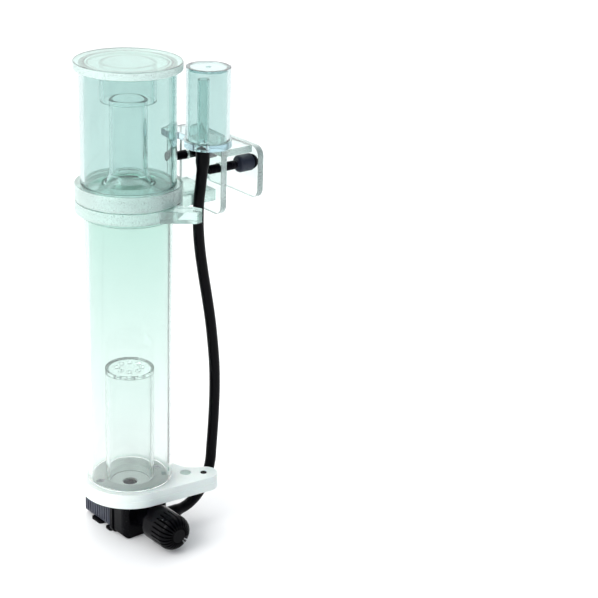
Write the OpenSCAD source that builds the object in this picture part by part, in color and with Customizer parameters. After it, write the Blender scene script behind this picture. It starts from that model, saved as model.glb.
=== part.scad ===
// Nano protein skimmer for a small marine tank: a needle-wheel pump under a teardrop base
// drives foam up a clear body tube into a lift-off collection cup. It hangs on the tank's glass.
// Origin: on the body tube's axis, at the underside of the pump's feet. +Z is up.

/* [Body] */
// Outer diameter of the body tube
body_d = 50; // [49:0.5:51]
// Wall of the body tube
body_wall = 2.5; // [2:0.25:3]
// Height of the top face of the body tube and its flange
body_top_z = 205; // [195:0.5:215]
// Thickness of the body flange
flange_t = 7; // [6:0.5:8]
// Outer diameter of the flange, the cup floor and the lid
collar_d = 60; // [58:0.5:60]

/* [Cup] */
// Outer diameter of the collection cup's tube
cup_d = 53.8; // [53:0.2:54]
// Wall of the collection cup's tube
cup_wall = 2.4; // [2:0.2:3]
// Height of the cup from its floor's underside to the lid's top
cup_h = 78; // [74:0.5:84]
// Thickness of the cup floor
cup_floor_t = 9.2; // [8:0.1:9.4]
// Outer diameter of the neck that the foam climbs
neck_d = 21.4; // [20:0.2:22]
// Wall of the neck
neck_wall = 2; // [1.5:0.25:2.5]
// Thickness of the lid
lid_t = 4.5; // [3:0.5:5]
// Outer diameter of the lid's bubble skirt
skirt_d = 31.4; // [31:0.2:33]

/* [Bubble tube] */
// Outer diameter of the bubble tube
bubble_d = 28.4; // [27:0.2:29]
// Height of the bubble tube above the lower base plate
bubble_h = 71.5; // [68:0.5:74]
// Number of holes in the diffuser
diffuser_holes = 8; // [6:1:10]

/* [Base] */
// Thickness of each of the two base plates
plate_t = 4.5; // [4:0.25:5]
// Radius of the round end of the base plates
plate_r = 28.75; // [28:0.25:30]
// Distance from the axis to the centre of the plates' tip
tip_x = 44.4; // [43:0.2:46]
// Radius of the plates' tip
tip_r = 7.6; // [7:0.2:8]
// Diameter of the water outlet hole
outlet_d = 6.5; // [5:0.5:7]

/* [Pump] */
// Height of the pump, from its feet to the base plates
pump_h = 24; // [23.5:0.25:25]
// Half of the pump's width
pump_half_w = 16; // [15:0.5:17]
// Radius of the intake strainer
strainer_r = 10.5; // [10:0.25:11]
// Distance from the axis to the strainer's far end
strainer_end = 49; // [47:0.5:50]
// Number of slots round the strainer
strainer_slots = 24; // [16:2:26]

/* [Hanger] */
// Angle of the hanger's reach, seen from above
hanger_angle = 35; // [30:1:36]
// Distance from the axis to the inner plate's near face
inner_plate_s = 50; // [49.5:0.5:51]
// Thickness of the hanger's plates
sheet_t = 4; // [3.5:0.5:4]
// Distance from the axis to the outer plate's near face
outer_plate_s = 72.5; // [72:0.5:76]
// Half the distance between the two clamp screws
screw_y = 16; // [15.5:0.5:16]
// Height of the clamp screws
screw_z = 217.8; // [217.4:0.1:218.4]
// Radius of a clamp screw
screw_r = 2.6; // [2.5:0.1:2.7]

/* [Silencer] */
// Outer diameter of the silencer
silencer_d = 25; // [24:0.5:25]
// Height of the silencer tube's top
silencer_top_z = 279; // [270:1:282]

/* [Hidden] */

$fn = 96;
eps = 0.01;

// Clearances
running_gap = 0.06;
loose_gap = 0.4;

// Colours
clear = [0.86, 0.95, 0.92, 0.45];
blue_clear = [0.72, 0.84, 0.88, 0.5];
white = [0.93, 0.97, 0.95];
black = [0.05, 0.05, 0.06];
slate = [0.25, 0.28, 0.34];
grey = [0.45, 0.47, 0.5];
steel = [0.7, 0.7, 0.72];

// Levels
plate_low_z = pump_h;
plate_mid_z = pump_h + plate_t;
plate_top_z = pump_h + 2 * plate_t;
cup_z = body_top_z + 0.3;
cup_floor_top_z = cup_z + cup_floor_t;
lid_top_z = cup_z + cup_h;
lid_low_z = lid_top_z - lid_t;
groove_depth = 1.5;

// Radii
body_r = body_d / 2;
bore_r = body_r - body_wall;
collar_r = collar_d / 2;
cup_r = cup_d / 2;
cup_bore_r = cup_r - cup_wall;
neck_r = neck_d / 2;
spigot_r = bore_r - loose_gap;
spigot_len = 6;
bubble_r = bubble_d / 2;
bubble_wall = 2;
skirt_r = skirt_d / 2;

// Pump, in its own frame: X along the shaft towards the strainer, Y across
pump_turn = -54;
shaft_z = 12;
motor_back_x = -27.5;
seam_x = 2.8;
front_x = 17;
chamber_r = 8.2;
chamber_x0 = -4.5;
chamber_x1 = 12.5;
well_r = 5.9;
well_x0 = -21.8;
bush_x0 = -22.8;
bush_r = 2.6;
shaft_r = 1;
neck_end_x = 27.2;
nipple_x = 21.5;
nipple_z = 11;
inlet_r = 4.2;

// Silencer and its off-centre standpipe
silencer_x = 43.7;
silencer_y = 5.5;
silencer_wall = 2;
standpipe_x = 41;
standpipe_y = 1.5;
standpipe_r = 3.2;
shelf_z = 233.8;
cup_path_r = collar_r + 0.6;

// Clamp screws, in the hanger's frame: X along the screws, Y across
screw_s0 = 43;
tip_s0 = 59;
tip_s1 = 63;
bumper_s0 = 63.5;

// Air hose: the points of its centre line, from the silencer down to the pump's inlet
hose_r = 3.2;
hose_end_r = 4;
hose_sides = 12;
hose_route = [
  [41, 1.5, 233.8], [41, 1.5, 228], [40.8, 1.5, 221.5], [40, 2, 212], [39.2, 3, 203.5],
  [38.9, 4.5, 194], [39.2, 6.5, 183], [40.3, 8.5, 170.5], [42.2, 10.5, 156.5], [44.4, 12.3, 142.5],
  [46.6, 14.1, 127.5], [48.4, 15.8, 111.5], [49.7, 17.2, 95.5], [50.1, 18.2, 80], [49.9, 18.7, 66],
  [49.4, 18.8, 53], [48.7, 18.3, 41], [48.2, 17.3, 33.2], [46.6, 14.5, 26], [43.7, 10, 19.8],
  [39.5, 4.5, 15], [33.9, -1.3, 12], [27.3, -6.8, 11], [23.7, -9.3, 11], [20.1, -12, 11]
];

// A rounded rectangle centred on the origin, with straight sides and round corners
module rounded_rect(w, h, r) {
  square([w - 2 * r, h], center = true);
  square([w, h - 2 * r], center = true);
  for (sx = [-1, 1], sy = [-1, 1])
    translate([sx * (w / 2 - r), sy * (h / 2 - r)])
      circle(r = r);
}

// A tube standing on z0
module tube(r_out, r_in, z0, z1) {
  translate([0, 0, z0])
    difference() {
      cylinder(r = r_out, h = z1 - z0);
      translate([0, 0, -1])
        cylinder(r = r_in, h = z1 - z0 + 2);
    }
}

// A box from one corner to the other
module block(low, high) {
  translate(low)
    cube(high - low);
}

// The pump's frame: X along the shaft, Y across, Z still measured from the feet
module in_pump() {
  rotate([0, 0, pump_turn])
    children();
}

// A cylinder along X from x0 to x1 at height z
module rod_x(r, x0, x1, y = 0, z = shaft_z) {
  translate([x0, y, z])
    rotate([0, 90, 0])
      cylinder(r = r, h = x1 - x0);
}

// The hanger's frame: X away from the body, Y along the plates
module in_hanger() {
  rotate([0, 0, hanger_angle])
    children();
}

// ---------------------------------------------------------------- base

// Outline of a base plate: a round end, a round tip, a straight front and a hollowed back
hollow_r = 15;
hollow_x = ((plate_r + hollow_r) ^ 2 - (tip_r + hollow_r) ^ 2 + tip_x ^ 2) / (2 * tip_x);
hollow_y = sqrt((plate_r + hollow_r) ^ 2 - hollow_x ^ 2);
front_lean = asin((plate_r - tip_r) / tip_x);

module plate_outline(inset = 0) {
  r_main = plate_r - inset;
  r_tip = tip_r - inset;
  r_hollow = hollow_r + inset;
  main_back = [hollow_x, hollow_y] * r_main / (r_main + r_hollow);
  tip_back = [tip_x, 0] + ([hollow_x - tip_x, hollow_y]) * r_tip / (r_tip + r_hollow);
  circle(r = r_main);
  translate([tip_x, 0])
    circle(r = r_tip);
  polygon([
    [0, 0], [r_main * sin(front_lean), -r_main * cos(front_lean)],
    [tip_x + r_tip * sin(front_lean), -r_tip * cos(front_lean)], [tip_x, 0]
  ]);
  difference() {
    polygon([[0, 0], main_back, [hollow_x, hollow_y], tip_back, [tip_x, 0]]);
    translate([hollow_x, hollow_y])
      circle(r = r_hollow);
  }
}

module base_holes(z0, z1) {
  for (a = [27, 207])
    rotate([0, 0, a])
      translate([base_screw_r, 0, z0])
        cylinder(r = base_screw_shank_r, h = z1 - z0);
  translate([tip_screw_x, 0, z0])
    cylinder(r = tip_screw_shank_r, h = z1 - z0);
}

base_screw_r = 18.7;
base_screw_shank_r = 1.25;
base_head_r = 2.2;
tip_screw_x = 43.6;
tip_screw_shank_r = 1.25;
tip_head_r = 1.9;
outlet_x = 32.8;
pump_outlet_r = 4.25;
channel_x0 = 18.6;
channel_x1 = 21.8;

module base_plate_lower() {
  color(white)
    difference() {
      translate([0, 0, plate_low_z])
        linear_extrude(plate_t)
          plate_outline();
      translate([0, 0, plate_low_z - 1])
        cylinder(r = pump_outlet_r, h = plate_t + 2);
      block([channel_x0, -outlet_d / 2, plate_mid_z - 2.4], [outlet_x, outlet_d / 2, plate_mid_z + 1]);
      translate([outlet_x, 0, plate_mid_z - 2.4])
        cylinder(r = outlet_d / 2, h = 3);
      base_holes(plate_low_z - 1, plate_mid_z + 1);
      translate([tip_screw_x, 0, plate_low_z - 1])
        cylinder(r = tip_head_r, h = 2);
    }
}

module base_plate_upper() {
  color(white)
    difference() {
      union() {
        translate([0, 0, plate_mid_z])
          linear_extrude(plate_t - 0.4)
            plate_outline();
        translate([0, 0, plate_top_z - 0.4])
          linear_extrude(0.4)
            plate_outline(0.4);
      }
      translate([0, 0, plate_mid_z - 1])
        cylinder(r = bubble_r, h = plate_t + 2);
      tube(body_r, bore_r, plate_top_z - groove_depth, plate_top_z + 1);
      block([channel_x0, -2.2, plate_mid_z - 1], [channel_x1, 2.2, plate_top_z + 1]);
      translate([outlet_x, 0, plate_mid_z - 1])
        cylinder(r = outlet_d / 2, h = plate_t + 2);
      base_holes(plate_mid_z - 1, plate_top_z + 1);
      for (a = [27, 207])
        rotate([0, 0, a])
          translate([base_screw_r, 0, plate_top_z - 1.4])
            cylinder(r = base_head_r, h = 2);
      translate([tip_screw_x, 0, plate_top_z - 1.4])
        cylinder(r = tip_head_r, h = 2);
    }
}

// A pan-head screw standing head up, with a cross recess
module pan_screw(head_r, head_h, shank_r, shank_len) {
  difference() {
    union() {
      cylinder(r = head_r, h = head_h);
      translate([0, 0, -shank_len])
        cylinder(r = shank_r, h = shank_len + eps);
    }
    for (a = [0, 90])
      rotate([0, 0, a])
        block([-head_r * 0.6, -0.3, head_h - 0.7], [head_r * 0.6, 0.3, head_h + 1]);
  }
}

module base_screws() {
  color(grey)
    for (a = [27, 207])
      rotate([0, 0, a])
        translate([base_screw_r, 0, plate_top_z - 1.4])
          pan_screw(base_head_r - 0.1, 1.4, base_screw_shank_r, plate_top_z - plate_low_z - 1.4);
}

module tip_screw() {
  color(black) {
    translate([tip_screw_x, 0, plate_top_z - 1.4])
      pan_screw(tip_head_r - 0.1, 1.5, tip_screw_shank_r, plate_top_z - plate_low_z - 2.4);
    translate([tip_screw_x, 0, plate_low_z - 0.5])
      cylinder(r = tip_head_r - 0.1, h = 1.5);
  }
}

// ---------------------------------------------------------------- body

module body_tube() {
  color(clear)
    tube(body_r, bore_r, plate_top_z - groove_depth, body_top_z);
}

module bubble_tube() {
  color(clear)
    tube(bubble_r, bubble_r - bubble_wall, plate_mid_z, plate_mid_z + bubble_h);
}

diffuser_t = 2.4;
diffuser_hole_r = 1.5;
diffuser_pitch_r = 7;

module diffuser_disc() {
  color(clear)
    translate([0, 0, plate_mid_z + bubble_h])
      difference() {
        cylinder(r = bubble_r, h = diffuser_t);
        for (i = [0:diffuser_holes - 1])
          rotate([0, 0, i * 360 / diffuser_holes])
            translate([diffuser_pitch_r, 0, -1])
              cylinder(r = diffuser_hole_r, h = diffuser_t + 2, $fn = 32);
      }
}

flange_low_z = body_top_z - flange_t;
seal_r = 26.2;
seal_section_r = 0.8;
pin_angle = -17;
pin_pitch_r = 28.4;
pin_r = 0.9;
arm_half_w = 14;

// The flange's tab, which reaches forward of the hose
module tab_outline() {
  polygon([[14, -24.6], [37.6, -24.6], [40.4, -22], [40.4, -18], [34, -13.6], [20, -13.6]]);
}

module body_flange() {
  color(clear)
    difference() {
      union() {
        translate([0, 0, flange_low_z])
          cylinder(r = collar_r, h = flange_t);
        translate([0, 0, flange_low_z - 2.5])
          cylinder(r = body_r + 1.6, h = 2.6);
        translate([0, 0, flange_low_z])
          linear_extrude(flange_t)
            tab_outline();
        in_hanger()
          block([body_r, -arm_half_w, flange_low_z], [inner_plate_s, arm_half_w, body_top_z - 0.5]);
      }
      translate([0, 0, flange_low_z - 3])
        cylinder(r = body_r, h = flange_t + 4);
      tube(seal_r + seal_section_r, seal_r - seal_section_r, body_top_z - 1.4, body_top_z + 1);
      rotate([0, 0, pin_angle])
        translate([pin_pitch_r, 0, body_top_z - 3])
          cylinder(r = pin_r, h = 4, $fn = 32);
    }
}

module flange_seal() {
  color(grey)
    translate([0, 0, body_top_z - 0.6])
      rotate_extrude()
        translate([seal_r, 0])
          circle(r = seal_section_r - 0.05, $fn = 24);
}

module locating_pin() {
  color(black)
    rotate([0, 0, pin_angle])
      translate([pin_pitch_r, 0, body_top_z - 3])
        cylinder(r = pin_r, h = 6.5, $fn = 32);
}

// ---------------------------------------------------------------- cup

flare_z = cup_floor_top_z + 1.8;
flare_r = neck_r + 2.1;
throat_r = 14;
neck_top_z = lid_top_z - 20.8;
cone_low_z = cup_z + 1.2;
seat_r = spigot_r + 0.6;

// Outside of the neck and funnel, from the spigot's foot up
neck_outside = [
  [spigot_r, cup_z - spigot_len], [spigot_r, cup_z], [seat_r, cup_z], [seat_r, cone_low_z],
  [throat_r, cup_floor_top_z], [flare_r, flare_z], [neck_r, flare_z + 6], [neck_r, neck_top_z]
];

// Inside of the neck and funnel, from the top down
neck_inside = [
  [neck_r - neck_wall, neck_top_z], [neck_r - neck_wall, flare_z + 6],
  [flare_r - neck_wall, flare_z], [throat_r - neck_wall, cup_floor_top_z - 0.6],
  [spigot_r - neck_wall, cone_low_z - 1.8], [spigot_r - neck_wall, cup_z - spigot_len]
];

module cup_neck() {
  color(clear)
    rotate_extrude()
      polygon(concat(neck_outside, neck_inside));
}

module cup_floor() {
  color(clear)
    difference() {
      rotate_extrude()
        polygon([
          [seat_r, cup_z], [collar_r, cup_z], [collar_r, cup_floor_top_z],
          [throat_r, cup_floor_top_z], [seat_r, cone_low_z]
        ]);
      tube(cup_r, cup_bore_r, cup_floor_top_z - 1, cup_floor_top_z + 1);
      rotate([0, 0, pin_angle])
        translate([pin_pitch_r, 0, cup_z - 1])
          cylinder(r = pin_r + loose_gap, h = 5.6, $fn = 32);
    }
}

module cup_tube() {
  color(clear)
    tube(cup_r, cup_bore_r, cup_floor_top_z - 1, lid_low_z - 0.05);
}

module lid_disc() {
  color(clear)
    difference() {
      union() {
        translate([0, 0, lid_low_z])
          cylinder(r = collar_r, h = lid_t);
        tube(cup_bore_r - loose_gap, cup_bore_r - loose_gap - 2, lid_low_z - 1.5, lid_low_z + 0.5);
      }
      translate([0, 0, lid_low_z - 1])
        tube(skirt_r, skirt_r - 2, 0, 2);
    }
}

module lid_skirt() {
  color(clear)
    tube(skirt_r, skirt_r - 2, lid_top_z - 22.2, lid_low_z + 1);
}

// ---------------------------------------------------------------- silencer

module at_silencer() {
  translate([silencer_x, silencer_y, 0])
    children();
}

module at_standpipe() {
  translate([standpipe_x, standpipe_y, 0])
    children();
}

module silencer_shelf() {
  color(blue_clear)
    difference() {
      translate([0, 0, shelf_z])
        linear_extrude(sheet_t)
          union() {
            translate([silencer_x, silencer_y])
              circle(r = silencer_d / 2 + 1.1);
            in_hanger()
              translate([33, -22.5])
                square([inner_plate_s + sheet_t - 33, 34]);
          }
      cylinder(r = cup_path_r, h = 300);
      at_standpipe()
        translate([0, 0, shelf_z - 1])
          cylinder(r = standpipe_r, h = 10);
    }
}

module silencer_tube() {
  color(blue_clear)
    at_silencer()
      tube(silencer_d / 2, silencer_d / 2 - silencer_wall, shelf_z + sheet_t, silencer_top_z);
}

module silencer_cap() {
  color(blue_clear)
    at_silencer()
      tube(silencer_d / 2 - silencer_wall, 1.25, silencer_top_z - 1.9, silencer_top_z - 0.3);
}

module silencer_standpipe() {
  color(blue_clear)
    at_standpipe()
      tube(standpipe_r, standpipe_r - 1.1, shelf_z, silencer_top_z - 6);
}

// A hose nipple along Z: a bored stem with two shallow barbs
module nipple(len, stem_r, hole_r) {
  difference() {
    rotate_extrude()
      polygon([
        [0, 0], [stem_r, 0], [stem_r, len * 0.35], [stem_r + 0.4, len * 0.38],
        [stem_r, len * 0.62], [stem_r + 0.4, len * 0.65], [stem_r - 0.3, len], [0, len]
      ]);
    translate([0, 0, -1])
      cylinder(r = hole_r, h = len + 2);
  }
}

module silencer_nipple() {
  color(blue_clear)
    at_standpipe()
      translate([0, 0, shelf_z])
        mirror([0, 0, 1])
          nipple(10, 2.6, 1.6);
}

// ---------------------------------------------------------------- air hose

function sub_point(p, i, t) =
  let (
    n = len(p) - 1,
    a = p[max(i - 1, 0)],
    b = p[i],
    c = p[min(i + 1, n)],
    d = p[min(i + 2, n)]
  )
  0.5 * (2 * b + (c - a) * t + (2 * a - 5 * b + 4 * c - d) * t ^ 2 + (3 * b - a - 3 * c + d) * t ^ 3);

function unit(v) = v / norm(v);

hose_steps = 2;
hose_line = concat(
  [for (i = [0:len(hose_route) - 2], k = [0:hose_steps - 1]) sub_point(hose_route, i, k / hose_steps)],
  [hose_route[len(hose_route) - 1]]
);
hose_n = len(hose_line);

// The hose is stretched where it grips a nipple, over its first and last few millimetres
function end_distance(i) = min(
  norm(hose_line[i] - hose_line[0]),
  norm(hose_line[i] - hose_line[hose_n - 1])
);
function hose_radius(i) =
  let (t = max(0, min(1, (end_distance(i) - 8) / 5)))
  hose_end_r + (hose_r - hose_end_r) * t * t * (3 - 2 * t);

function hose_tangent(i) = unit(hose_line[min(i + 1, hose_n - 1)] - hose_line[max(i - 1, 0)]);
hose_side = [0, 1, 0];

function hose_ring(i) =
  let (
    t = hose_tangent(i),
    a = unit(hose_side - t * (hose_side * t)),
    b = cross(t, a),
    r = hose_radius(i)
  )
  [for (k = [0:hose_sides - 1])
    let (q = k * 360 / hose_sides)
    hose_line[i] + r * (cos(q) * a + sin(q) * b)];

module air_hose() {
  points = [for (i = [0:hose_n - 1]) each hose_ring(i)];
  start_cap = [[for (k = [0:hose_sides - 1]) k]];
  end_cap = [[for (k = [hose_sides - 1:-1:0]) (hose_n - 1) * hose_sides + k]];
  sides = [
    for (i = [0:hose_n - 2], k = [0:hose_sides - 1])
      let (
        j = (k + 1) % hose_sides,
        low = i * hose_sides,
        high = (i + 1) * hose_sides
      )
      each [[low + k, high + k, high + j], [low + k, high + j, low + j]]
  ];
  color(black)
    polyhedron(points = points, faces = concat(start_cap, end_cap, sides));
}

// ---------------------------------------------------------------- hanger

inner_low_z = 189.5;
outer_low_z = 197;
bridge_top_z = 228;
plate_corner_r = 6;

// A plate standing across the hanger's X, from y0 to y1 and z0 to z1, with rounded corners
module standing_plate(s, y0, y1, z0, z1, top_round) {
  r = plate_corner_r;
  translate([s, 0, 0])
    rotate([90, 0, 90])
      linear_extrude(sheet_t)
        difference() {
          translate([y0, z0])
            square([y1 - y0, z1 - z0]);
          for (end = top_round ? [0, 1, 2, 3] : [0, 1])
            translate([end % 2 == 0 ? y0 : y1, end < 2 ? z0 : z1])
              rotate([0, 0, [0, 90, 270, 180][end]])
                difference() {
                  translate([-eps, -eps])
                    square(r + eps);
                  translate([r, r])
                    circle(r = r);
                }
        }
}

module screw_holes(r, s0, s1) {
  for (side = [-1, 1])
    rod_x(r, s0, s1, side * screw_y, screw_z);
}

module hanger_inner_plate() {
  color(clear)
    in_hanger()
      difference() {
        standing_plate(inner_plate_s, -19, 21.5, inner_low_z, shelf_z, false);
        screw_holes(screw_r + running_gap, inner_plate_s - 1, inner_plate_s + sheet_t + 1);
      }
}

module hanger_bridge() {
  color(clear)
    in_hanger()
      block(
        [inner_plate_s + sheet_t, -18, bridge_top_z - sheet_t],
        [outer_plate_s, 18, bridge_top_z]
      );
}

module hanger_outer_plate() {
  color(clear)
    in_hanger()
      difference() {
        standing_plate(outer_plate_s, -24, 24, outer_low_z, bridge_top_z, true);
        screw_holes(bumper_shank_r, outer_plate_s - 1, outer_plate_s + sheet_t + 1);
      }
}

tip_spigot_r = 1.4;

// One clamp screw: a plain-bodied nylon screw with a slotted end and a spigot for its tip
module clamp_screw(side) {
  color(black)
    in_hanger()
      difference() {
        union() {
          rod_x(screw_r, screw_s0, tip_s0 - 0.1, side * screw_y, screw_z);
          rod_x(tip_spigot_r, tip_s0 - 1, tip_s0 + 2.4, side * screw_y, screw_z);
        }
        block(
          [screw_s0 - 1, side * screw_y - 0.5, screw_z - screw_r - 1],
          [screw_s0 + 1.8, side * screw_y + 0.5, screw_z + screw_r + 1]
        );
      }
}

module clamp_screw_front() {
  clamp_screw(-1);
}

module clamp_screw_rear() {
  clamp_screw(1);
}

// The round-nosed pad that presses on the glass and stays still while its screw turns
module clamp_tip(side) {
  nose = 1.8;
  depth = tip_s1 - tip_s0;
  color(black)
    in_hanger()
      translate([tip_s0, side * screw_y, screw_z])
        rotate([0, 90, 0])
          difference() {
            rotate_extrude()
              union() {
                square([screw_r, depth - nose]);
                square([screw_r - nose, depth]);
                translate([screw_r - nose, depth - nose])
                  intersection() {
                    circle(r = nose, $fn = 48);
                    square(nose);
                  }
              }
            translate([0, 0, -1])
              cylinder(r = tip_spigot_r + running_gap, h = 3.6);
          }
}

module clamp_tip_front() {
  clamp_tip(-1);
}

module clamp_tip_rear() {
  clamp_tip(1);
}

bumper_r = 5;
bumper_shank_r = 1.5;
bumper_edge = 1.6;

module bumpers() {
  depth = outer_plate_s - bumper_s0;
  color(grey)
    in_hanger()
      for (side = [-1, 1])
        translate([bumper_s0, side * screw_y, screw_z])
          rotate([0, 90, 0])
            rotate_extrude()
              difference() {
                translate([0, 0])
                  square([bumper_r, depth]);
                translate([bumper_r - bumper_edge, -eps])
                  difference() {
                    square([bumper_edge + eps, bumper_edge]);
                    translate([0, bumper_edge])
                      circle(r = bumper_edge, $fn = 48);
                  }
                translate([-eps, 3])
                  square([bumper_shank_r + eps, depth]);
              }
}

module bumper_screws() {
  head_r = 4.3;
  head_h = 3.2;
  dome_r = (head_r ^ 2 + head_h ^ 2) / (2 * head_h);
  s_out = outer_plate_s + sheet_t;
  color(black)
    in_hanger()
      for (side = [-1, 1]) {
        translate([s_out, side * screw_y, screw_z])
          rotate([0, 90, 0])
            rotate_extrude()
              intersection() {
                translate([0, head_h - dome_r])
                  circle(r = dome_r);
                square([head_r + 1, head_h + 1]);
              }
        rod_x(bumper_shank_r, bumper_s0 + 3, s_out + eps, side * screw_y, screw_z);
      }
}

// ---------------------------------------------------------------- pump

motor_low_z = 1.4;
plan_r = 5;
section_r = 4;
back_t = 2.2;

// A block with round vertical corners and round lengthwise edges
module pump_block(x0, x1, z0, z1, plan_corner = plan_r) {
  w = 2 * pump_half_w;
  intersection() {
    translate([(x0 + x1) / 2, 0, z0])
      linear_extrude(z1 - z0)
        rounded_rect(x1 - x0, w, plan_corner);
    translate([x0 - 1, 0, (z0 + z1) / 2])
      rotate([90, 0, 90])
        linear_extrude(x1 - x0 + 2)
          rounded_rect(w, z1 - z0, section_r);
  }
}

// The whole motor block; the back cover and the housing share it
module motor_block() {
  intersection() {
    pump_block(motor_back_x, seam_x + 10, motor_low_z, pump_h);
    block([motor_back_x - 1, -30, 0], [seam_x, 30, pump_h + 1]);
  }
}

coil_space_x1 = -7.5;
well_wall_r = 7.2;
rib_pitch = 2.4;
rib_count = 11;
rib_gap_w = 0.7;
rib_depth = 0.45;

module pump_motor_housing() {
  color(slate)
    in_pump()
      difference() {
        union() {
          intersection() {
            motor_block();
            block([motor_back_x + back_t, -30, 0], [seam_x, 30, pump_h + 1]);
          }
          translate([0, 0, pump_h - 1])
            cylinder(r = pump_outlet_r - 0.05, h = plate_t);
        }
        difference() {
          block([motor_back_x, -13.6, 4], [coil_space_x1, 13.6, 20.6]);
          rod_x(well_wall_r, motor_back_x - 1, coil_space_x1 + 1);
        }
        rod_x(bush_r, bush_x0, well_x0 + 1);
        rod_x(well_r, well_x0, chamber_x0 + 1);
        rod_x(chamber_r, chamber_x0, seam_x + 1);
        translate([0, 0, shaft_z])
          cylinder(r = 3, h = 20);
        for (i = [0:rib_count - 1], side = [-1, 1])
          translate([motor_back_x + 4.2 + i * rib_pitch, side * pump_half_w, (motor_low_z + pump_h) / 2])
            cube([rib_gap_w, 2 * rib_depth, 17.4], center = true);
      }
}

module pump_back_cover() {
  color(black)
    in_pump()
      difference() {
        intersection() {
          motor_block();
          block([motor_back_x - 1, -30, 0], [motor_back_x + back_t, 30, pump_h + 1]);
        }
        rod_x(2.6, motor_back_x - 1, motor_back_x + back_t + 1, 8, 15);
      }
}

module pump_front_cover() {
  rim = 0.8;
  color(black)
    in_pump()
      difference() {
        union() {
          intersection() {
            pump_block(seam_x - 10, front_x, 0.4, pump_h, 4);
            block([seam_x, -30, 0], [front_x + 1, 30, pump_h + 1]);
          }
          intersection() {
            translate([seam_x, 0, shaft_z])
              rotate([90, 0, 90])
                linear_extrude(2.4)
                  rounded_rect(2 * (pump_half_w + rim), 2 * shaft_z, section_r);
            block([0, -30, 0], [30, 30, pump_h]);
          }
        }
        rod_x(chamber_r, seam_x - 1, chamber_x1);
        rod_x(inlet_r, chamber_x1 - 1, front_x + 1);
        rod_x(inlet_socket_r, front_x - 3, front_x + 1);
        difference() {
          rod_x(seal_ring_r + 0.8, seam_x - 1, seam_x + 1.2);
          rod_x(seal_ring_r - 0.8, seam_x - 2, seam_x + 2);
        }
      }
}

inlet_socket_r = 6;
seal_ring_r = 9.3;
seal_ring_section_r = 0.58;

module pump_seal() {
  color(grey)
    in_pump()
      translate([seam_x + 0.6, 0, shaft_z])
        rotate([0, 90, 0])
          rotate_extrude()
            translate([seal_ring_r, 0])
              circle(r = seal_ring_section_r, $fn = 24);
}

module pump_feet() {
  color(black)
    in_pump() {
      translate([-13, 0, 0])
        linear_extrude(motor_low_z)
          rounded_rect(10, 2 * pump_half_w + 0.6, 2);
      translate([-0.2, 0, 0])
        linear_extrude(motor_low_z)
          rounded_rect(5.8, 2 * pump_half_w + 0.6, 1.5);
    }
}

coil_half_h = 5.4;

module stator_core() {
  color(steel)
    in_pump()
      difference() {
        union() {
          block([-20.4, -8.6, 4.4], [-9.4, 12.8, 18.6]);
          block([-17.4, -13, shaft_z - 2.4], [-12.4, -8, shaft_z + 2.4]);
        }
        rod_x(well_wall_r + 0.1, -22, -8);
      }
}

module stator_coil() {
  color("peru")
    in_pump()
      difference() {
        translate([-14.9, -8.9, shaft_z])
          rotate([90, 0, 0])
            linear_extrude(4.2)
              rounded_rect(12.6, 2 * coil_half_h, 2);
        block([-17.5, -15, shaft_z - 2.5], [-12.3, -8, shaft_z + 2.5]);
      }
}

module cable_gland() {
  color(black)
    in_pump()
      translate([motor_back_x, 8, 15])
        rotate([0, -90, 0])
          difference() {
            union() {
              translate([0, 0, -back_t])
                cylinder(r = 2.6, h = back_t + eps);
              cylinder(r = 4, h = 2.5);
              translate([0, 0, 2.4])
                cylinder(r1 = 3.4, r2 = 2.6, h = 5.6);
            }
            translate([0, 0, 3])
              cylinder(r = 1.8, h = 8);
          }
}

module rotor_magnet() {
  color([0.3, 0.3, 0.32])
    in_pump()
      difference() {
        rod_x(5.4, -20.6, -4.2);
        rod_x(shaft_r + running_gap, -22, 0);
      }
}

wheel_x0 = -3.6;
wheel_x1 = 6.4;

module needle_wheel() {
  color("lightgray")
    in_pump()
      difference() {
        union() {
          rod_x(3.2, -4.2, wheel_x1);
          rod_x(7.6, wheel_x0, wheel_x0 + 1.4);
          for (ring = [[4.6, 8], [6.7, 12]], i = [0:ring[1] - 1])
            rod_x(
              0.6, wheel_x0 + 1, wheel_x1,
              ring[0] * cos(i * 360 / ring[1]),
              shaft_z + ring[0] * sin(i * 360 / ring[1])
            );
        }
        rod_x(shaft_r + running_gap, -6, wheel_x1 + 1);
      }
}

module rotor_shaft() {
  color("white")
    in_pump()
      rod_x(shaft_r, -22.6, 10.6);
}

module rear_bush() {
  color(grey)
    in_pump()
      difference() {
        rod_x(bush_r, bush_x0, -21);
        rod_x(shaft_r, -23, -20);
      }
}

// The front bush: a hub on three ribs that stand in the front cover's chamber
module front_bush() {
  color(grey)
    in_pump()
      difference() {
        intersection() {
          union() {
            rod_x(2.4, 8, chamber_x1);
            for (a = [90, 210, 330])
              translate([0, 0, shaft_z])
                rotate([a, 0, 0])
                  block([9.5, 0, -0.7], [chamber_x1, chamber_r + 1, 0.7]);
          }
          rod_x(chamber_r, 7, chamber_x1);
        }
        rod_x(shaft_r, 7, chamber_x1 + 1);
      }
}

neck_outer_r = 7.4;
cage_seat_r = 6;
nipple_n0 = 6;

module inlet_neck() {
  color(black)
    in_pump()
      difference() {
        union() {
          rod_x(inlet_socket_r, front_x - 3, front_x + eps);
          rod_x(neck_outer_r, front_x, neck_end_x - 0.4);
          rod_x(cage_seat_r, neck_end_x - 1, neck_end_x + 5);
          translate([nipple_x, 0, nipple_z])
            rotate([-90, 0, 0])
              cylinder(r = 3.6, h = 9.2);
        }
        rod_x(inlet_r, front_x - 4, neck_end_x + 6);
        translate([nipple_x, 0, nipple_z])
          rotate([-90, 0, 0])
            cylinder(r = 2.6, h = 20);
      }
}

module air_inlet_nipple() {
  color(black)
    in_pump()
      translate([nipple_x, nipple_n0, nipple_z])
        rotate([-90, 0, 0])
          nipple(11, 2.6, 1.4);
}

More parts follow.
